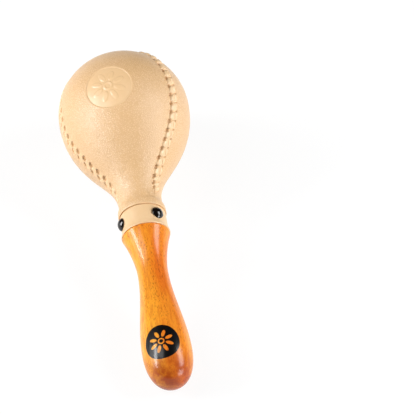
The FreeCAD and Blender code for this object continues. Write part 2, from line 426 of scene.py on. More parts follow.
@dataclass(frozen=True)
class LacqueredWood:
    """Amber stained hardwood under gloss lacquer, with a round black print. Millimetres."""

    amber: Tone = (240, 150, 42)
    orange: Tone = (229, 119, 30)
    sapwood: Tone = (252, 182, 52)
    streak: Tone = (196, 86, 22)
    pore: Tone = (136, 56, 18)
    butt: Tone = (168, 70, 20)
    print_tone: Tone = (11, 9, 9)
    broad: Pattern = Pattern(0.012, 0.11, 3.0, 0.5, 0.32, 0.62)
    figure: Pattern = Pattern(0.05, 0.7, 4.0, 0.6, 0.40, 0.72)
    fleck: Pattern = Pattern(0.4, 2.0, 3.0, 0.6, 0.50, 0.70)
    blotch: Pattern = Pattern(0.15, 0.15, 3.0, 0.6, 0.36, 0.62)
    pore_bands: Pattern = Pattern(0.18, 0.18, 2.0, 0.5, 0.40, 0.60)
    waves: Pattern = Pattern(0.05, 0.05, 2.0, 0.4)
    pore_cells: tuple[float, float, float] = (0.33, 1.5, 1.5)
    pore_edge: float = 0.44
    pore_core: float = 0.16
    pore_share: float = 0.62
    streak_share: float = 0.5
    sap_side: Point = (2.0, -11.0)
    sap_share: float = 0.75
    far_side: Point = (6.0, 15.0)
    far_share: float = 0.3
    butt_fade: Point = (24.0, 3.0)
    blotch_least: float = 0.5
    print_radius: float = 12.0
    print_edge: float = 0.12
    wave_height: float = 1.5
    relief_depth: float = 0.05
    relief_strength: float = 0.25
    roughness: float = 0.42
    specular: float = 0.08
    coat: float = 0.6
    coat_roughness: float = 0.19

    def pores(self, surface: Surface, place: Value) -> Value:
        """Short dark vessels that run with the grain, scattered in loose bands.

        Args:
            surface: The material's graph.
            place: Where each point lies, with x along the grain.

        Returns:
            How much of a vessel there is at the point.
        """
        cells = surface.vector("MULTIPLY", place, self.pore_cells)
        spot = surface.out("ShaderNodeTexVoronoi", {"Vector": cells, "Scale": 1.0}, "Distance")
        spots = surface.smooth(spot, self.pore_edge, self.pore_core)
        return spots * self.pore_bands.share(surface, cells) * self.pore_share

    def colour(self, surface: Surface, place: Value, butt_at: float) -> Value:
        """The stain and figure of the wood.

        Args:
            surface: The material's graph.
            place: Where each point lies, with x along the grain.
            butt_at: Where the handle ends along its axis.

        Returns:
            The colour.
        """
        side, x = surface.part(place, "Y"), surface.part(place, "X")
        pale = (surface.smooth(side, *self.sap_side) * self.sap_share
                + surface.smooth(side, *self.far_side, 0.0, self.far_share))
        end = surface.smooth(x, *(butt_at - reach for reach in self.butt_fade))
        colour = ink(self.amber)
        for share, tone in ((self.broad.share(surface, place), self.orange),
                            (pale, self.sapwood),
                            (self.figure.share(surface, place) * self.streak_share, self.streak),
                            (self.fleck.share(surface, place) * self.streak_share, self.streak),
                            (self.pores(surface, place), self.pore),
                            (end * self.blotch.share(surface, place, self.blotch_least), self.butt)):
            colour = surface.mix(share, colour, ink(tone))
        return colour

    def material(self, axis_from_row: Matrix, butt_at: float, ornament: Rosette) -> Material:
        """Builds the material. The mesh notes where each point lies on the print.

        Args:
            axis_from_row: Turns metres in the row's frame into millimetres on the instrument's axis.
            butt_at: Where the handle ends along its axis.
            ornament: What the round print leaves bare.

        Returns:
            The material.
        """
        surface = Surface("lacquered_wood")
        place = surface.out("ShaderNodeMapping", {
            "Vector": surface.place(), "Location": axis_from_row.to_translation(),
            "Rotation": axis_from_row.to_euler(), "Scale": (1 / MM, 1 / MM, 1 / MM)})
        spot = surface.noted("print_place", "Vector")
        radius = surface.vector("LENGTH", spot, output=1)
        rim, edge = self.print_radius, self.print_edge
        disc = surface.smooth(radius, rim + edge, rim - edge)
        inside = ornament.inside(surface, surface.part(spot, "X"), surface.part(spot, "Y"))
        bare = surface.smooth(inside, -edge, edge)
        colour = surface.mix(disc * (1.0 - bare), self.colour(surface, place, butt_at), ink(self.print_tone))
        relief = self.waves.noise(surface, place) * self.wave_height - self.pores(surface, place)
        return surface.finished({
            "Base Color": colour, "Roughness": self.roughness, "Specular IOR Level": self.specular,
            "Coat Weight": self.coat, "Coat Roughness": self.coat_roughness,
            "Normal": surface.bump(self.relief_strength, self.relief_depth, relief),
        })


@dataclass(frozen=True)
class BlackEnamel:
    """Gloss black enamel of the tacks."""

    tone: Tone = (15, 10, 8)
    wear_and_highlight_tone: Tone = (26, 19, 15)
    wear: Pattern = Pattern(900.0, 900.0, 3.0, 0.6, 0.45, 0.75)
    peel: Pattern = Pattern(1600.0, 1600.0, 2.0, 0.5)
    peel_depth: float = 0.02
    peel_strength: float = 0.15
    roughness: float = 0.14
    worn_roughness: float = 0.22
    coat: float = 0.2
    coat_roughness: float = 0.08

    def material(self) -> Material:
        """Builds the material.

        Returns:
            The material.
        """
        surface = Surface("black_enamel")
        place = surface.place()
        wear_and_highlight = self.wear.share(surface, place)
        return surface.finished({
            "Base Color": surface.mix(wear_and_highlight, ink(self.tone), ink(self.wear_and_highlight_tone)),
            "Roughness": surface.smooth(wear_and_highlight, 0.0, 1.0, self.roughness, self.worn_roughness),
            "Coat Weight": self.coat, "Coat Roughness": self.coat_roughness,
            "Normal": surface.bump(self.peel_strength, self.peel_depth, self.peel.noise(surface, place)),
        })


@dataclass(frozen=True)
class CutSteel:
    """Dull steel of the pellets inside."""

    tone: Tone = (150, 150, 153)
    scuffed_tone: Tone = (96, 95, 95)
    scuffs: Pattern = Pattern(700.0, 700.0, 4.0, 0.65, 0.2, 0.8)
    roughness: float = 0.3
    scuffed_roughness: float = 0.55

    def material(self) -> Material:
        """Builds the material.

        Returns:
            The material.
        """
        surface = Surface("cut_steel")
        scuffs = self.scuffs.noise(surface, surface.place())
        return surface.finished({
            "Base Color": surface.mix(scuffs, ink(self.tone), ink(self.scuffed_tone)),
            "Roughness": surface.smooth(scuffs, self.scuffs.low, self.scuffs.high, self.roughness,
                                        self.scuffed_roughness),
            "Metallic": 1.0,
        })


@dataclass(frozen=True)
class PaleSurface:
    """The plain pale floor: near white to the camera, and still shaded by what lies on it."""

    glow: float = 0.88
    tone: Tone = (228, 228, 230)
    lit_tone: Tone = (104, 104, 104)
    roughness: float = 0.9

    def material(self) -> Material:
        """Builds the material.

        Returns:
            The material.
        """
        surface = Surface("pale_floor")
        rays = [surface.out("ShaderNodeLightPath", output=ray) for ray in ("Is Camera Ray", "Is Glossy Ray")]
        seen = surface.math("ADD", *rays, clamp=True)
        lit = surface.out("ShaderNodeBsdfDiffuse", {"Color": ink(self.lit_tone)})
        glow = surface.out("ShaderNodeEmission", {"Color": WHITE, "Strength": self.glow})
        both = surface.out("ShaderNodeAddShader", {0: lit, 1: glow})
        plain = Value(surface, surface.shader.outputs[0])
        choice = surface.out("ShaderNodeMixShader", {0: seen, 1: plain, 2: both})
        surface.feed(surface.tree.nodes["Material Output"].inputs["Surface"], choice)
        return surface.finished({"Base Color": ink(self.tone), "Roughness": self.roughness})


@dataclass(frozen=True)
class Axis:
    """The line that the lying instrument is turned about."""

    crown: Vector
    direction: Vector

    @classmethod
    def from_record(cls, record: dict[str, Any], grip_at: float) -> "Axis":
        """Finds the line from the grip that the record states.

        Args:
            record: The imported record.
            grip_at: Millimetres from the crown to the grip's middle.

        Returns:
            The line.
        """
        grip = next(m for m in record["mounts"] if m["name"] == "handle_grip")
        direction = Vector(grip["axis"]).normalized()
        return cls(Vector(grip["pos_m"]) - direction * grip_at * MM, direction)

    def matrix(self) -> Matrix:
        """Lays a mesh drawn on the axis down in the row's frame.

        Returns:
            The matrix, from millimetres to metres.
        """
        across = Vector((0, 1, 0))
        up = self.direction.cross(across).normalized()
        turn = Matrix((self.direction, across, up)).transposed().to_4x4()
        return Matrix.Translation(self.crown) @ turn @ Matrix.Scale(MM, 4)


def eased(share: Any) -> Any:
    """A share from 0 to 1 with a gentle start and end."""
    return share * share * (3 - 2 * share)


def wrapped(turn: np.ndarray) -> np.ndarray:
    """Angles in radians, brought to within half a turn of 0."""
    return np.mod(turn + math.pi, TURN) - math.pi


def run_along(points: np.ndarray) -> np.ndarray:
    """How far along a line each of its points lies."""
    return np.concatenate([[0], np.cumsum(np.hypot(*np.diff(points, axis=0).T))])


def bezier(poles: Sequence[Point], count: int) -> np.ndarray:
    """Points of a cubic curve.

    Args:
        poles: Its four poles, each an (x, radius) pair.
        count: How many points.

    Returns:
        The points, one a row.
    """
    t = np.linspace(0, 1, count)[:, None]
    a, b, c, d = (np.array(p, float) for p in poles)
    return (1 - t) ** 3 * a + 3 * (1 - t) ** 2 * t * b + 3 * (1 - t) * t ** 2 * c + t ** 3 * d


def swept(start: Point, end: Point, fullness: Point, count: int) -> np.ndarray:
    """Points of a curve that leaves its start and comes to its end along the axis.

    Args:
        start: Where it starts, as (x, radius).
        end: Where it ends.
        fullness: How long it holds to the radius of each end, as shares of its length.
        count: How many points.

    Returns:
        The points, one a row.
    """
    span = end[0] - start[0]
    leaving, coming = start[0] + span * fullness[0], end[0] - span * fullness[1]
    return bezier([start, (leaving, start[1]), (coming, end[1]), end], count)


def resampled(points: np.ndarray, spacing: float) -> np.ndarray:
    """Spaces the points of a line evenly.

    Args:
        points: The line.
        spacing: How far apart its points may be.

    Returns:
        The new points, one a row.
    """
    run = run_along(points)
    at = np.linspace(0, run[-1], max(2, math.ceil(run[-1] / spacing) + 1))
    return np.column_stack([np.interp(at, run, points[:, 0]), np.interp(at, run, points[:, 1])])


def straight(start: Point, end: Point, spacing: float) -> np.ndarray:
    """A straight stretch of an outline."""
    return resampled(np.array([start, end], float), spacing)


def outline(parts: Sequence[np.ndarray], rounding: float, own: dict[int, float] | None = None) -> np.ndarray:
    """Joins stretches of a turned outline, with each sharp corner between two of them rounded.

    Args:
        parts: The stretches in order, each starting where the last ends.
        rounding: How far back from a corner its rounding starts.
        own: Other roundings, by the number of the stretch that starts at the corner.

    Returns:
        The whole outline, one (x, radius) point a row.
    """
    sharp, bend_points = 0.15, 5
    joined = parts[0]
    for number, part in enumerate(parts[1:], start=1):
        before, after = joined[-1] - joined[-2], part[1] - part[0]
        turn = abs(math.atan2(before[0] * after[1] - before[1] * after[0], before @ after))
        if turn < sharp:
            joined = np.vstack([joined, part[1:]])
            continue
        corner = part[0]
        reach = min((own or {}).get(number, rounding), np.hypot(*(joined[0] - corner)) / 2,
                    np.hypot(*(part[-1] - corner)) / 2)
        kept = joined[np.hypot(*(joined - corner).T) > reach]
        left = part[np.hypot(*(part - corner).T) > reach]
        start = corner - before / np.hypot(*before) * reach
        stop = corner + after / np.hypot(*after) * reach
        t = np.linspace(0, 1, bend_points)[:, None]
        joined = np.vstack([kept, (1 - t) ** 2 * start + 2 * (1 - t) * t * corner + t ** 2 * stop, left])
    return joined


def turned_mesh(name: str, rows: np.ndarray, columns: np.ndarray) -> Mesh:
    """Turns an outline that starts and ends on the axis into a closed mesh.

    Args:
        name: The mesh's name.
        rows: The outline, one (x, radius) point a row.
        columns: The azimuths of each row's points, in radians, one row for each inner point.

    Returns:
        The mesh, in millimetres on the axis.
    """
    inner = rows[1:-1]
    count = columns.shape[1]
    points = np.empty((len(inner), count, 3))
    points[:, :, 0] = inner[:, :1]
    points[:, :, 1] = -inner[:, 1:] * np.sin(columns)
    points[:, :, 2] = inner[:, 1:] * np.cos(columns)
    vertices = np.vstack([points.reshape(-1, 3), [(rows[0][0], 0, 0), (rows[-1][0], 0, 0)]])
    start, end = len(vertices) - 2, len(vertices) - 1
    index = np.arange(len(inner) * count).reshape(len(inner), count)
    after = np.roll(index, -1, axis=1)
    quads = np.stack([index[:-1], after[:-1], after[1:], index[1:]], axis=-1).reshape(-1, 4)
    faces = [tuple(q) for q in quads.tolist()]
    faces += [(start, after[0, i], index[0, i]) for i in range(count)]
    faces += [(end, index[-1, i], after[-1, i]) for i in range(count)]
    mesh = bpy.data.meshes.new(name)
    mesh.from_pydata(vertices.tolist(), [], faces)
    mesh.update()
    return mesh


def face_outwards(mesh: Mesh) -> None:
    """Points every face of a closed mesh outwards and shades it smoothly.

    Args:
        mesh: The mesh, which is changed.
    """
    work = bmesh.new()
    work.from_mesh(mesh)
    bmesh.ops.recalc_face_normals(work, faces=work.faces)
    if work.calc_volume(signed=True) < 0:
        bmesh.ops.reverse_faces(work, faces=work.faces)
    work.to_mesh(mesh)
    work.free()
    mesh.polygons.foreach_set("use_smooth", np.ones(len(mesh.polygons), bool))
    mesh.update()


def points_of(mesh: Mesh) -> tuple[np.ndarray, np.ndarray, np.ndarray]:
    """Reads where the vertices of a mesh on the axis are.

    Args:
        mesh: The mesh.

    Returns:
        Their x, their radii and their azimuths in radians.
    """
    co = np.empty(len(mesh.vertices) * 3)
    mesh.vertices.foreach_get("co", co)
    x, y, z = co.reshape(-1, 3).T
    return x, np.hypot(y, z), np.arctan2(-y, z)


def store(mesh: Mesh, name: str, values: np.ndarray) -> None:
    """Stores a number, or three, for each vertex of a mesh.

    Args:
        mesh: The mesh.
        name: What they are stored under.
        values: The numbers, one row for each vertex.
    """
    kind, key = ("FLOAT", "value") if values.ndim == 1 else ("FLOAT_VECTOR", "vector")
    attribute = mesh.attributes.new(name, kind, "POINT")
    attribute.data.foreach_set(key, values.astype(np.float32).ravel())


def placed(name: str, data: Any) -> Object:
    """Puts a mesh, a lamp or a camera into the scene.

    Args:
        name: The new object's name.
        data: What it holds.

    Returns:
        The object.
    """
    thing = bpy.data.objects.new(name, data)
    bpy.context.scene.collection.objects.link(thing)
    return thing


@dataclass(frozen=True)
class Pit:
    """A pit at a groove's end: where it lies across the seam, and how far it reaches, in millimetres."""

    at: float
    reach: float
    width: float

    def off(self, across: np.ndarray, off_groove: np.ndarray) -> np.ndarray:
        """How far points are from its middle, as shares of its reach."""
        return np.hypot((across - self.at) / self.reach, off_groove / self.width)


SLITS = (Pit(2.8, 1.3, 1.8), Pit(-2.9, 1.1, 0.85))
DIMPLES = (Pit(1.75, 2.35, 2.5), Pit(-2.9, 2.0, 1.95))


@dataclass(frozen=True)
class Seam:
    """The course of one row of laces. Degrees, and millimetres along the skin from the crown."""

    azimuth: float
    bend: float
    front: int
    pitch: float
    end: float
    tail: tuple[float, ...]
    pits: tuple[Pit, Pit]
    lift: float
    # How strong the painted shade in its pits, grooves and front edge line is.
    shade: float
    edge: float

    @property
    def lengths(self) -> np.ndarray:
        """The lengths of the pads: the usual one, those of the tail, and one beyond it."""
        return np.array([self.pitch, *self.tail, self.tail[-1]])

    def knots(self, start: float) -> tuple[np.ndarray, np.ndarray]:
        """Where the grooves lie, and their numbers, which count up towards the neck.

        Args:
            start: How far from the crown the row may start.

        Returns:
            The distances and the numbers, with one more groove noted beyond each end.
        """
        before = int((self.end - start) // self.pitch) + 1
        places = self.end + np.concatenate([[-self.pitch * before, 0.0], np.cumsum(self.lengths[1:])])
        return places, np.array([-before, *range(len(self.lengths))], float)


@dataclass
class LacedSeams:
    """The moulded rows of puffed pads, with a pit at both ends of each groove. Millimetres."""

    seams: tuple[Seam, ...] = (
        Seam(-48.0, 10.0, 1, 6.6, 140.2, (4.7, 3.7, 3.2), SLITS, 1.0, 0.55, 0.55),
        Seam(80.0, -10.0, -1, 6.9, 146.8, (4.2,), DIMPLES, 0.25, 0.36, 0.0),
        Seam(196.0, 0.0, 1, 6.9, 146.8, (4.2,), SLITS, 0.8, 0.5, 0.3),
    )
    start: float = 16.0
    bend_start: float = 30.0
    bend_end: float = 100.0
    skew: float = 23.0
    narrow_pads: float = 2.5
    tail_narrowing: float = 0.7
    faint_pads: float = 3.0
    tail_depth: float = 0.4
    groove_share: float = 0.45
    groove_fade: tuple[Point, Point] = ((88.0, 108.0), (1.0, 0.4))
    edge_fade: tuple[Point, Point] = ((98.0, 108.0), (1.0, 0.2))
    half_width: float = 3.3
    height: float = 1.25
    end_squareness: float = 2.5
    side_squareness: float = 2.3
    puff: float = 0.55
    crease: float = 0.6
    crease_width: float = 1.0
    crease_at: float = -0.6
    crease_tilt: float = 2.0
    pit_floor: float = 0.5
    front_depth: float = 1.2
    rear_depth: float = 1.0
    rear_shade: float = 0.7
    groove_width: float = 0.6
    groove_depth: float = 0.3
    groove_end: float = 0.8
    groove_shade: float = 0.6
    edge_width: float = 0.5
    edge_depth: float = 0.22
    band: float = 10.2
    band_columns: int = 33
    fan_radius: float = 12.0
    noted: ClassVar[tuple[str, ...]] = ("across", "cell", "pad_length", "padded", "laced", "grooved",
                                        "front_off", "rear_off", "edged", "shade")
    given: ClassVar[tuple[str, ...]] = (
        "half_width", "height", "end_squareness", "side_squareness", "puff", "crease", "crease_width",
        "crease_at", "crease_tilt", "pit_floor", "front_depth", "rear_depth", "rear_shade", "groove_width",
        "groove_depth", "groove_end", "groove_shade", "edge_width", "edge_depth")

    def bent(self, along: Any) -> tuple[Any, Any]:
        """The share of its bend that a seam has at a distance from the crown, and its change per mm."""
        t = np.clip((self.bend_end - along) / (self.bend_end - self.bend_start), 0, 1)
        return eased(t), -6 * t * (1 - t) / (self.bend_end - self.bend_start)

    def columns(self, radius: float, along: float, between: int) -> np.ndarray:
        """Azimuths for one ring of the head: close together on the seams, wide apart between them.

        Args:
            radius: The ring's radius.
            along: Its distance from the crown along the skin.
            between: How many columns lie between two seams.

        Returns:
            The azimuths, in radians.
        """
        spread = np.linspace(-self.band / 2, self.band / 2, self.band_columns) / max(radius, self.fan_radius)
        share = float(self.bent(along)[0])
        turns = [math.radians(seam.azimuth + seam.bend * share) for seam in self.seams]
        parts = []
        for turn, following in zip(turns, turns[1:] + [turns[0] + TURN]):
            parts.append(turn + spread)
            parts.append(np.linspace(turn + spread[-1], following + spread[0], between + 2)[1:-1])
        return np.concatenate(parts)

    def places(self, along: np.ndarray, radius: np.ndarray, azimuth: np.ndarray) -> dict[str, np.ndarray]:
        """Where each point of the skin lies in the seam nearest to it.

        Args:
            along: Distances from the crown along the skin.
            radius: Distances from the axis.
            azimuth: Azimuths, in radians.

        Returns:
            Across, positive towards the front; the number of the pad with the share of it that is
            passed; the pad's length; how strong the pads, the pits and the grooves are; how far off
            the pits are; and how strong the front edge's line and the painted shade in the pits are.
        """
        share, change = self.bent(along)
        offs = [wrapped(azimuth - np.radians(seam.azimuth + seam.bend * share)) for seam in self.seams]
        nearest = np.abs(np.array(offs)).argmin(axis=0)
        found = {name: np.zeros(len(along)) for name in self.noted}
        for number, (seam, off) in enumerate(zip(self.seams, offs)):
            here = nearest == number
            tilt = np.radians(seam.bend * change) * radius
            foot = along + off * radius * tilt / (1 + tilt ** 2)
            beside = off * radius / np.sqrt(1 + tilt ** 2)
            knots, numbers = seam.knots(self.start)
            cell = np.interp(foot - beside * math.tan(math.radians(self.skew)), knots, numbers)
            first, last = numbers[0] + 1, numbers[-1] - 1
            across = beside * seam.front / np.interp(cell, (last - self.narrow_pads, last),
                                                     (1.0, self.tail_narrowing))
            length = seam.lengths[np.clip(np.floor(cell) + 1, 0, len(seam.lengths) - 1).astype(int)]
            off_groove = np.abs(cell - np.round(cell)) * length
            padded = (cell > first) & (cell < last)
            on_row = (cell > first - self.groove_share) * (cell < last + self.groove_share)
            laced = on_row * np.interp(cell, (last - self.faint_pads, last), (1.0, self.tail_depth))
            values = (across, cell, length, padded * seam.lift, laced,
                      laced * np.interp(along, *self.groove_fade),
                      *(pit.off(across, off_groove) for pit in seam.pits),
                      padded * seam.edge * np.interp(along, *self.edge_fade),
                      np.full(len(along), seam.shade))
            for name, value in zip(found, values):
                found[name][here] = value[here]
        return found

    def sizes(self) -> dict[str, float]:
        """The sizes that the nodes take, by the names of their inputs."""
        return {name.replace("_", " ").title(): getattr(self, name) for name in self.given}

    def tree(self) -> NodeTree:
        """Builds the nodes that raise the pads and sink the pits along a seam.

        Returns:
            The node group.
        """
        tree = bpy.data.node_groups.new("laced_seams", "GeometryNodeTree")
        face = tree.interface
        face.new_socket("Geometry", in_out="INPUT", socket_type="NodeSocketGeometry")
        for name in self.sizes():
            face.new_socket(name, in_out="INPUT", socket_type="NodeSocketFloat")
        face.new_socket("Material", in_out="INPUT", socket_type="NodeSocketMaterial")
        face.new_socket("Geometry", in_out="OUTPUT", socket_type="NodeSocketGeometry")
        graph = Graph(tree)
        given = {socket.name: Value(graph, socket) for socket in graph.add("NodeGroupInput").outputs}
        noted = {name: graph.out("GeometryNodeInputNamedAttribute", {"Name": name}, data_type="FLOAT")
                 for name in (*self.noted, "crevice")}
        across, half_width = noted["across"], given["Half Width"]
        side = graph.abs(across)
        part = graph.math("FRACT", noted["cell"])
        near = graph.math("MINIMUM", part, 1.0 - part)
        along_fall = (1.0 - near * 2.0) ** given["End Squareness"]
        fall = along_fall + (side / half_width) ** given["Side Squareness"]
        puff = graph.math("SUBTRACT", 1.0, fall, clamp=True) ** given["Puff"]
        off_crease = graph.abs(across + (part - 0.5) * given["Crease Tilt"] - given["Crease At"])
        crease = graph.smooth(off_crease, 0.0, given["Crease Width"], 1.0, 0.0) * given["Crease"]
        front, rear = (graph.smooth(noted[name], 1.0, given["Pit Floor"]) * noted["laced"]
                       for name in ("front_off", "rear_off"))
        pad = puff * (1.0 - crease) * noted["padded"] * (1.0 - graph.maximum(front, rear))
        within = graph.smooth(side, half_width - given["Groove End"], half_width, 1.0, 0.0)
        groove = graph.smooth(near * noted["pad_length"], 0.0, given["Groove Width"], 1.0, 0.0)
        groove = groove * within * noted["grooved"]
        edge = graph.smooth(graph.abs(across - half_width), 0.0, given["Edge Width"], 1.0, 0.0)
        edge = edge * noted["edged"]
        deep = graph.maximum(front * given["Front Depth"], rear * given["Rear Depth"])
        sunk = graph.maximum(deep, groove * given["Groove Depth"]) + edge * given["Edge Depth"]
        push = graph.out("ShaderNodeVectorMath", {0: graph.out("GeometryNodeInputNormal"),
                                                  "Scale": pad * given["Height"] - sunk}, operation="SCALE")
        shape = graph.out("GeometryNodeSetPosition", {"Geometry": given["Geometry"], "Offset": push})
        # Painted shade: the pits, grooves and front edge line are darkened in the colour as well as sunk,
        # together with the flange groove's painted shade.
        shade = graph.maximum(graph.maximum(front, rear * given["Rear Shade"]),
                              graph.maximum(groove, edge) * given["Groove Shade"])
        shade = graph.math("MAXIMUM", shade * noted["shade"], noted["crevice"], clamp=True)
        # The pad's height is stored for a painted highlight that pales the pad tops.
        for name, value in (("painted_shade", shade), ("wear_and_highlight", pad)):
            inputs = {"Geometry": shape, "Name": name, "Value": value}
            shape = graph.out("GeometryNodeStoreNamedAttribute", inputs, data_type="FLOAT", domain="POINT")
        real = graph.out("GeometryNodeRealizeInstances", {0: shape})
        dressed = graph.out("GeometryNodeSetMaterial", {"Geometry": real, "Material": given["Material"]})
        graph.add("NodeGroupOutput", {0: dressed})
        return tree

    def raise_on(self, mesh: Mesh, material: Material) -> Mesh:
        """Raises the seams on the head.

        Args:
            mesh: The plain head, with each vertex's place in the seam nearest to it.
            material: What the head is made of.

        Returns:
            The laced head's mesh.
        """
        carrier = placed("laced_head", mesh)
        modifier = carrier.modifiers.new("laces", "NODES")
        modifier.node_group = self.tree()
        values = {**self.sizes(), "Material": material}
        for socket in modifier.node_group.interface.items_tree:
            if socket.name in values:
                modifier[socket.identifier] = values[socket.name]
        evaluated = carrier.evaluated_get(bpy.context.evaluated_depsgraph_get())
        laced = bpy.data.meshes.new_from_object(evaluated)
        bpy.data.objects.remove(carrier)
        return laced


@dataclass
class Roundel:
    """The smooth sunk disc on the front of the head, with a low ornament. Millimetres."""

    azimuth: float = 15.0
    at: float = 51.5
    radius: float = 15.8
    depth: float = 0.35
    wall: float = 0.35
    collar: float = 0.7
    clearance: float = 0.5
    skin_slack: float = 0.5
    relief: float = 0.3
    relief_edge: float = 0.5
    ornament_scale: float = 1.45
    spokes: int = 144
    rings: int = 48
    wall_rings: int = 4

    def seat(self, x: np.ndarray, radius: np.ndarray, azimuth: np.ndarray) -> np.ndarray:
        """How far points are from the disc's middle, seen straight down on it.

        Args:
            x: Where they lie along the axis.
            radius: Their distances from the axis.
            azimuth: Their azimuths, in radians.

        Returns:
            The distances, which are very large on the far side of the head.
        """
        turn = azimuth - math.radians(self.azimuth)
        return np.where(np.cos(turn) > 0, np.hypot(x - self.at, radius * np.sin(turn)), FAR)

    def levels(self) -> np.ndarray:
        """The radii of the disc's rings, which lie closer together at its wall.

        Returns:
            The radii, from the middle out.
        """
        inner = self.radius - self.wall
        floor = np.linspace(0, inner, self.rings)[1:]
        wall = np.linspace(inner, self.radius, self.wall_rings + 1)[1:]
        return np.concatenate([floor, wall, [self.radius + self.collar]])

    def height(self, across: np.ndarray, along: np.ndarray, ornament: Rosette) -> np.ndarray:
        """How far the disc stands above the head's skin, which is mostly below it.

        Args:
            across: Where points lie across the disc.
            along: Where they lie along it.
            ornament: The ornament on it.

        Returns:
            The heights.
        """
        share = np.clip((np.hypot(across, along) - self.radius + self.wall) / self.wall, 0, 1)
        inside = ornament.inside(np, across, along, self.ornament_scale)
        raised = eased(np.clip(inside / self.relief_edge + 0.5, 0, 1))
        return self.relief * raised - self.depth * (1 - eased(share))

    def set_into(self, mesh: Mesh, skin: np.ndarray, ornament: Rosette) -> None:
        """Cuts a round hole in the head's skin and sews the disc into it.

        Args:
            mesh: The plain head.
            skin: The outline of its skin.
            ornament: The ornament on the disc.
        """
        x, radius, azimuth = points_of(mesh)
        outside = radius > np.interp(x, skin[:, 0], skin[:, 1]) - self.skin_slack
        inside = (self.seat(x, radius, azimuth) < self.radius + self.collar + self.clearance) & outside
        work = bmesh.new()
        work.from_mesh(mesh)
        work.verts.ensure_lookup_table()
        bmesh.ops.delete(work, geom=[work.verts[i] for i in np.nonzero(inside)[0]], context="VERTS")
        hole = [edge for edge in work.edges if edge.is_boundary]
        turn = Matrix.Rotation(math.radians(self.azimuth), 3, "X")
        angles = np.arange(self.spokes) * TURN / self.spokes
        rings = []
        for level, spokes in ((0.0, angles[:1]), *((level, angles) for level in self.levels())):
            along, across = level * np.cos(spokes), level * np.sin(spokes)
            reach = np.interp(self.at + along, skin[:, 0], skin[:, 1])
            rise = np.sqrt(reach ** 2 - across ** 2) + self.height(across, along, ornament)
            rings.append([work.verts.new(turn @ Vector((self.at + a, b, c)))
                          for a, b, c in zip(along, across, rise)])
        centre = rings.pop(0)[0]
        for i in range(self.spokes):
            j = (i + 1) % self.spokes
            work.faces.new((centre, rings[0][i], rings[0][j]))
            for low, high in zip(rings, rings[1:]):
                work.faces.new((low[i], high[i], high[j], low[j]))
        self.sew(work, hole, rings[-1], turn)
        work.to_mesh(mesh)
        work.free()

    def sew(self, work: bmesh.types.BMesh, hole: list[bmesh.types.BMEdge], rim: list[bmesh.types.BMVert],
            turn: Matrix) -> None:
        """Fills the gap between the hole in the skin and the disc's last ring.

        Args:
            work: The head and the disc.
            hole: The edges round the hole.
            rim: The points of the disc's last ring, in order.
            turn: Turns the disc's own frame into the head's.
        """
        corners = list(dict.fromkeys([*rim, *(vertex for edge in hole for vertex in edge.verts)]))
        number = {vertex: i for i, vertex in enumerate(corners)}
        flat = [(turn.transposed() @ vertex.co).xy for vertex in corners]
        loops = [(i, (i + 1) % len(rim)) for i in range(len(rim))]
        loops += [tuple(number[vertex] for vertex in edge.verts) for edge in hole]
        _, _, triangles, origins, _, _ = delaunay_2d_cdt(flat, loops, [], 1, 1e-6)
        for triangle in triangles:
            found = [origins[i][0] for i in triangle]
            if max(found) >= len(rim):
                work.faces.new([corners[i] for i in found])


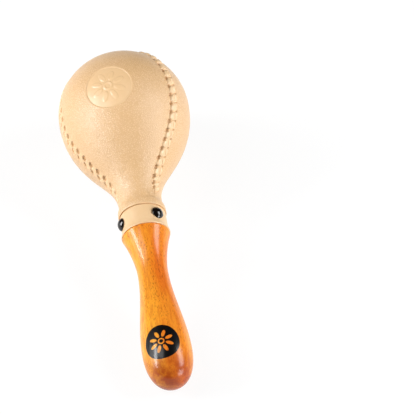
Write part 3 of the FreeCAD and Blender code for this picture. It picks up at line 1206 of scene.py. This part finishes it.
@dataclass
class Head:
    """The hollow head with its neck, flange and collar sleeve. Millimetres on the axis."""

    crown_length: float = 45.0
    head_radius: float = 45.0
    taper_length: float = 76.0
    neck_radius: float = 14.6
    flange_length: float = 10.4
    flange_radius: float = 16.15
    sleeve_length: float = 16.0
    sleeve_radius: float = 15.4
    lip_length: float = 5.0
    lip_radius: float = 16.3
    undercut_depth: float = 0.5
    undercut_width: float = 0.75
    wall: float = 2.2
    crown_fullness: Point = (0.51, 0.585)
    taper_fullness: Point = (0.51, 0.312)
    flange_fullness: Point = (0.65, 0.80)
    lip_fullness: Point = (0.45, 0.45)
    row_spacing: float = 0.33
    lip_spacing: float = 0.4
    undercut_spacing: float = 0.2
    smooth_spacing: float = 1.2
    rim_spacing: float = 1.0
    hollow_spacing: float = 3.0
    columns_between: int = 16
    rounding: float = 0.22
    bead_rounding: float = 0.4
    lip_rounding: float = 0.55
    grain_gap: float = 0.3
    grain_fade: float = 1.0
    roundel_fade: float = 0.4
    pad_fade: float = 0.6
    pad_grain: float = 0.2
    # Painted shade in the groove under the flange: its strength, and where it reaches.
    crevice_shade: float = 0.3
    crevice_slack: float = 0.05
    crevice_rise: float = 0.25
    crevice_floor: float = 0.5
    skin_slack: float = 1.0
    sample_spacing: float = 0.5
    seams: LacedSeams = field(default_factory=LacedSeams)
    roundel: Roundel = field(default_factory=Roundel)

    @property
    def neck_at(self) -> float:
        """Where the taper ends along the axis."""
        return self.crown_length + self.taper_length

    @property
    def flange_at(self) -> float:
        """Where the flange ends and the sleeve starts."""
        return self.neck_at + self.flange_length

    @property
    def rim_at(self) -> float:
        """Where the sleeve ends and the wood starts."""
        return self.flange_at + self.sleeve_length

    def skin(self, inset: float, spacing: float) -> np.ndarray:
        """The crown and taper of the head, or a surface inside them.

        Args:
            inset: How deep under the skin it lies.
            spacing: How far apart its points may be.

        Returns:
            Its outline, one (x, radius) point a row.
        """
        belly, length = self.head_radius - inset, self.crown_length - inset
        crown = bezier([
            (inset, 0), (inset, belly * self.crown_fullness[0]),
            (self.crown_length - length * self.crown_fullness[1], belly), (self.crown_length, belly),
        ], 400)
        taper = swept((self.crown_length, belly), (self.neck_at, self.neck_radius - inset),
                      self.taper_fullness, 400)
        return resampled(np.vstack([crown, taper[1:]]), spacing)

    def rows(self) -> np.ndarray:
        """The head's whole outline: down the outside, in over the rim and back up the hollow.

        Returns:
            The outline, one (x, radius) point a row.
        """
        flange_end, rim = (self.flange_at, self.flange_radius), (self.rim_at, self.lip_radius)
        undercut = (self.flange_at, self.sleeve_radius - self.undercut_depth)
        sleeve = (self.flange_at + self.undercut_width, self.sleeve_radius)
        lip = (self.rim_at - self.lip_length, self.sleeve_radius)
        bore = self.neck_radius - self.wall
        return outline([
            self.skin(0, self.row_spacing),
            resampled(swept((self.neck_at, self.neck_radius), flange_end, self.flange_fullness, 60),
                      self.row_spacing * 2),
            straight(flange_end, undercut, self.undercut_spacing),
            straight(undercut, sleeve, self.undercut_spacing),
            straight(sleeve, lip, self.smooth_spacing),
            resampled(swept(lip, rim, self.lip_fullness, 40), self.lip_spacing),
            straight(rim, (self.rim_at, bore), self.rim_spacing),
            straight((self.rim_at, bore), (self.neck_at, bore), self.hollow_spacing),
            self.skin(self.wall, self.hollow_spacing)[::-1],
        ], self.rounding, {2: self.bead_rounding, 6: self.lip_rounding})

    def grain(self, x: np.ndarray, places: dict[str, np.ndarray], from_roundel: np.ndarray) -> np.ndarray:
        """How strongly the skin is grained: not on the sleeve and the disc, and less on the pads.

        Args:
            x: Where points lie along the axis.
            places: Where they lie in the seams.
            from_roundel: How far they are from the disc's middle.

        Returns:
            The strengths, from 0 to 1.
        """
        body = np.clip((self.flange_at - self.grain_gap - x) / self.grain_fade, 0, 1)
        off_disc = np.clip((from_roundel - self.roundel.radius) / self.roundel_fade, 0, 1)
        beside = np.clip((np.abs(places["across"]) - self.seams.half_width) / self.pad_fade, 0, 1)
        on_pads = self.pad_grain + (1 - self.pad_grain) * beside
        return body * off_disc * np.where(places["padded"] > 0, on_pads, 1.0)

    def crevice(self, x: np.ndarray, radius: np.ndarray) -> np.ndarray:
        """How much shade is painted into the groove under the flange.

        Args:
            x: Where points lie along the axis.
            radius: Their distances from it.

        Returns:
            The painted shade at each point, which is 0 out of the groove.
        """
        start, end = self.flange_at, self.flange_at + self.undercut_width
        in_groove = (x > start - self.crevice_slack) & (x < end + self.crevice_slack)
        outside = radius > self.neck_radius - self.crevice_floor
        deep = np.clip((self.sleeve_radius + self.crevice_rise - radius) / self.undercut_depth, 0, 1)
        return self.crevice_shade * deep * (in_groove & outside)

    def mesh(self, material: Material, ornament: Rosette) -> Mesh:
        """Builds the whole head.

        Args:
            material: What it is made of.
            ornament: The ornament on its roundel.

        Returns:
            The mesh, in millimetres on the axis.
        """
        skin = self.skin(0, self.sample_spacing)
        run = run_along(skin)
        rows = self.rows()
        from_crown = np.interp(rows[1:-1, 0], skin[:, 0], run)
        columns = np.array([self.seams.columns(radius, along, self.columns_between)
                            for radius, along in zip(rows[1:-1, 1], from_crown)])
        mesh = turned_mesh("head_plain", rows, columns)
        self.roundel.set_into(mesh, skin, ornament)
        face_outwards(mesh)
        x, radius, azimuth = points_of(mesh)
        outside = radius > np.interp(x, skin[:, 0], skin[:, 1]) - self.skin_slack
        places = self.seams.places(np.interp(x, skin[:, 0], run), radius, azimuth)
        for name in ("padded", "laced", "grooved", "edged"):
            places[name] = places[name] * (outside & (x < self.neck_at))
        for name, values in places.items():
            store(mesh, name, values)
        store(mesh, "grain", self.grain(x, places, self.roundel.seat(x, radius, azimuth)) * outside)
        # Painted shade in the groove under the flange.
        store(mesh, "crevice", self.crevice(x, radius))
        return self.seams.raise_on(mesh, material)


@dataclass
class Handle:
    """The turned wooden handle with its spigot. Millimetres on the axis."""

    rim_at: float
    bore_radius: float
    spigot_length: float = 31.0
    spigot_clearance: float = 0.12
    spigot_chamfer: float = 1.5
    shoulder_radius: float = 15.85
    shoulder_round: float = 0.7
    shoulder_drop: float = 0.3
    waist_length: float = 30.2
    waist_radius: float = 10.0
    grip_length: float = 59.8
    swell_radius: float = 16.0
    butt_length: float = 26.1
    waist_fullness: Point = (0.02, 0.465)
    grip_fullness: Point = (0.345, 0.345)
    butt_fullness: Point = (0.56, 0.71)
    print_at: float = 238.3
    print_azimuth: float = 15.0
    spacing: float = 0.7
    spigot_spacing: float = 3.0
    chamfer_spacing: float = 0.8
    face_spacing: float = 1.0
    rounding: float = 0.15
    shoulder_points: int = 9
    columns: int = 144

    @property
    def waist_at(self) -> float:
        """Where the handle is narrowest."""
        return self.rim_at + self.waist_length

    @property
    def butt_at(self) -> float:
        """Where the handle ends."""
        return self.waist_at + self.grip_length + self.butt_length

    def rows(self) -> np.ndarray:
        """The handle's whole outline, from the end of the spigot to the butt.

        Returns:
            The outline, one (x, radius) point a row.
        """
        top, radius = self.rim_at - self.spigot_length, self.bore_radius - self.spigot_clearance
        chamfer = (top, radius - self.spigot_chamfer), (top + self.spigot_chamfer, radius)
        shoulder_end = self.rim_at + self.shoulder_round
        face = self.shoulder_radius - self.shoulder_round
        turn = np.linspace(math.pi, math.pi / 2, self.shoulder_points)
        shoulder = np.column_stack([shoulder_end + self.shoulder_round * np.cos(turn),
                                    face + self.shoulder_round * np.sin(turn)])
        span = self.waist_at - shoulder_end
        waist = bezier([
            (shoulder_end, self.shoulder_radius),
            (shoulder_end + span * self.waist_fullness[0], self.shoulder_radius - self.shoulder_drop),
            (self.waist_at - span * self.waist_fullness[1], self.waist_radius),
            (self.waist_at, self.waist_radius),
        ], 200)
        swell_at = self.waist_at + self.grip_length
        grip = swept((self.waist_at, self.waist_radius), (swell_at, self.swell_radius),
                     self.grip_fullness, 300)
        butt = bezier([
            (swell_at, self.swell_radius),
            (swell_at + self.butt_length * self.butt_fullness[0], self.swell_radius),
            (self.butt_at, self.swell_radius * self.butt_fullness[1]), (self.butt_at, 0),
        ], 300)
        return outline([
            straight((top, 0), chamfer[0], self.spigot_spacing),
            straight(*chamfer, self.chamfer_spacing),
            straight(chamfer[1], (self.rim_at, radius), self.spigot_spacing),
            straight((self.rim_at, radius), (self.rim_at, face), self.face_spacing),
            shoulder,
            *(resampled(curve, self.spacing) for curve in (waist, grip, butt)),
        ], self.rounding)

    def mesh(self, material: Material) -> Mesh:
        """Builds the handle, with each vertex's place on the round print.

        Args:
            material: The lacquered wood.

        Returns:
            The mesh, in millimetres on the axis.
        """
        rows = self.rows()
        turns = np.arange(self.columns) * TURN / self.columns
        mesh = turned_mesh("handle_turned", rows, np.tile(turns, (len(rows) - 2, 1)))
        face_outwards(mesh)
        x, radius, azimuth = points_of(mesh)
        outer = rows[rows[:, 0] >= self.waist_at]
        run = run_along(outer)
        along = np.interp(x, outer[:, 0], run) - np.interp(self.print_at, outer[:, 0], run)
        across = wrapped(azimuth - math.radians(self.print_azimuth)) * radius
        place = np.column_stack([along, across, np.zeros(len(x))])
        place[x < self.waist_at] = (-FAR, 0, 0)
        store(mesh, "print_place", place)
        mesh.materials.append(material)
        return mesh


@dataclass(frozen=True)
class Lamp:
    """A soft lamp: which one, its way to the right, up and towards the camera, its size and its watts."""

    which: Light
    way: tuple[float, float, float]
    size: Point
    power: float


@dataclass
class Studio:
    """The pale floor, the lamps and the camera. Metres and degrees."""

    azimuth: float = 80.39
    elevation: float = 45.6
    lens: float = 173.9
    sensor: float = 36.0
    sight: float = 20.0
    crown_right: float = -0.06435
    crown_up: float = 0.09863
    crown_ahead: float = 1.40025
    floor_size: float = 6.0
    lamp_distance: float = 1.25
    world_strength: float = 0.02
    lamps: tuple[Lamp, ...] = (
        Lamp(Light.LEFT, (-0.88, 0.26, 0.42), (0.28, 0.85), 14.5),
        Lamp(Light.RIGHT, (0.80, 0.42, 0.42), (0.5, 0.85), 12.4),
        Lamp(Light.SIDE, (-0.98, 0.10, 0.10), (0.4, 0.8), 3.2),
        Lamp(Light.TOP, (-0.55, 0.55, 0.63), (0.5, 0.5), 2.9),
        Lamp(Light.LOW, (0.80, -0.30, 0.50), (0.5, 0.5), 7.4),
    )

    def axes(self) -> tuple[Vector, Vector, Vector]:
        """Finds which way the picture lies.

        Returns:
            The directions to the right, up and ahead in it.
        """
        turn, rise = math.radians(self.azimuth), math.radians(self.elevation)
        right = Vector((math.cos(turn), math.sin(turn), 0))
        level = Vector((-math.sin(turn), math.cos(turn), 0))
        ahead = level * math.cos(rise) - Vector((0, 0, 1)) * math.sin(rise)
        return right, right.cross(ahead), ahead

    def camera(self, crown: Vector) -> None:
        """Sets the camera where the picture was taken from.

        Args:
            crown: The crown of the head, which the camera's place is measured from.
        """
        right, up, ahead = self.axes()
        data = bpy.data.cameras.new("camera")
        data.lens, data.sensor_width, data.sensor_fit = self.lens, self.sensor, "HORIZONTAL"
        data.clip_end = self.sight
        eye = crown - right * self.crown_right - up * self.crown_up - ahead * self.crown_ahead
        camera = placed("camera", data)
        camera.matrix_world = Matrix.Translation(eye) @ Matrix((right, up, -ahead)).transposed().to_4x4()
        bpy.context.scene.camera = camera

    def light(self, lamp: Lamp) -> None:
        """Adds a lamp, turned to the instrument.

        Args:
            lamp: Which one, and how it is set.
        """
        right, up, ahead = self.axes()
        direction = (right * lamp.way[0] + up * lamp.way[1] - ahead * lamp.way[2]).normalized()
        data = bpy.data.lights.new(lamp.which.value, "AREA")
        data.shape, data.energy = "RECTANGLE", lamp.power
        data.size, data.size_y = lamp.size
        side = up.cross(direction).normalized()
        turn = Matrix((side, direction.cross(side), direction)).transposed().to_4x4()
        placed("lamp_" + lamp.which.value, data).matrix_world = (
            Matrix.Translation(direction * self.lamp_distance) @ turn)

    def floor(self) -> None:
        """Lays the pale floor under the instrument."""
        half = self.floor_size / 2
        edges = [(-half, -half, 0), (half, -half, 0), (half, half, 0), (-half, half, 0)]
        mesh = bpy.data.meshes.new("floor")
        mesh.from_pydata(edges, [], [(0, 1, 2, 3)])
        mesh.materials.append(PaleSurface().material())
        placed("floor", mesh)

    def build(self, crown: Vector) -> None:
        """Builds the floor, the lamps, the world and the camera.

        Args:
            crown: The crown of the head.
        """
        self.floor()
        for lamp in self.lamps:
            self.light(lamp)
        world = bpy.data.worlds.new("studio")
        bpy.context.scene.world = world
        world.use_nodes = True
        background = world.node_tree.nodes["Background"]
        background.inputs["Color"].default_value = WHITE
        background.inputs["Strength"].default_value = self.world_strength
        self.camera(crown)
        bpy.context.scene.view_settings.view_transform = "Standard"


def show(name: str, mesh: Mesh, axis: Axis, node: str) -> None:
    """Lays a finished mesh down in place of a node of the measured model.

    Args:
        name: The new piece's name.
        mesh: Its mesh, in millimetres on the axis.
        axis: The line that it is laid along.
        node: The node that it stands for.
    """
    mesh.transform(axis.matrix())
    mesh.update()
    piece = placed(name, mesh)
    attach(piece, BODY)
    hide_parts(node)
    LOG.info("%s: %d faces, for %s", name, len(mesh.polygons), node)


def dress(nodes: dict[str, Object], names: Iterable[str], material: Material) -> None:
    """Gives nodes of the measured model a better finish.

    Args:
        nodes: The model's nodes by name.
        names: Which of them.
        material: The finish.
    """
    for name in names:
        mesh = nodes[name].data
        mesh.materials.clear()
        mesh.materials.append(material)
        LOG.info("%s: dressed in %s", name, material.name)


def corners(box: Any) -> list[list[float]]:
    """A box as plain lists of numbers."""
    return [[float(value) for value in corner] for corner in box]


def main() -> None:
    """Builds the maraca and its studio."""
    logging.basicConfig(level=logging.INFO, format="%(name)s: %(message)s")
    for thing in list(bpy.data.objects):
        bpy.data.objects.remove(thing)
    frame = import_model()
    head = Head()
    handle = Handle(head.rim_at, head.neck_radius - head.wall)
    axis = Axis.from_record(frame["record"], handle.waist_at)
    ornament = Rosette()
    plastic = GrainedPlastic().material()
    show("head_moulding", head.mesh(plastic, ornament), axis, "head_shell")
    wood = LacqueredWood().material(axis.matrix().inverted(), handle.butt_at, ornament)
    show("handle_turning", handle.mesh(wood), axis, "handle")
    nodes = frame["nodes"]
    dress(nodes, sorted(n for n in nodes if n.startswith("tack_")), BlackEnamel().material())
    dress(nodes, ["shot"], CutSteel().material())
    Studio().build(axis.crown)


if __name__ == "__main__":
    main()
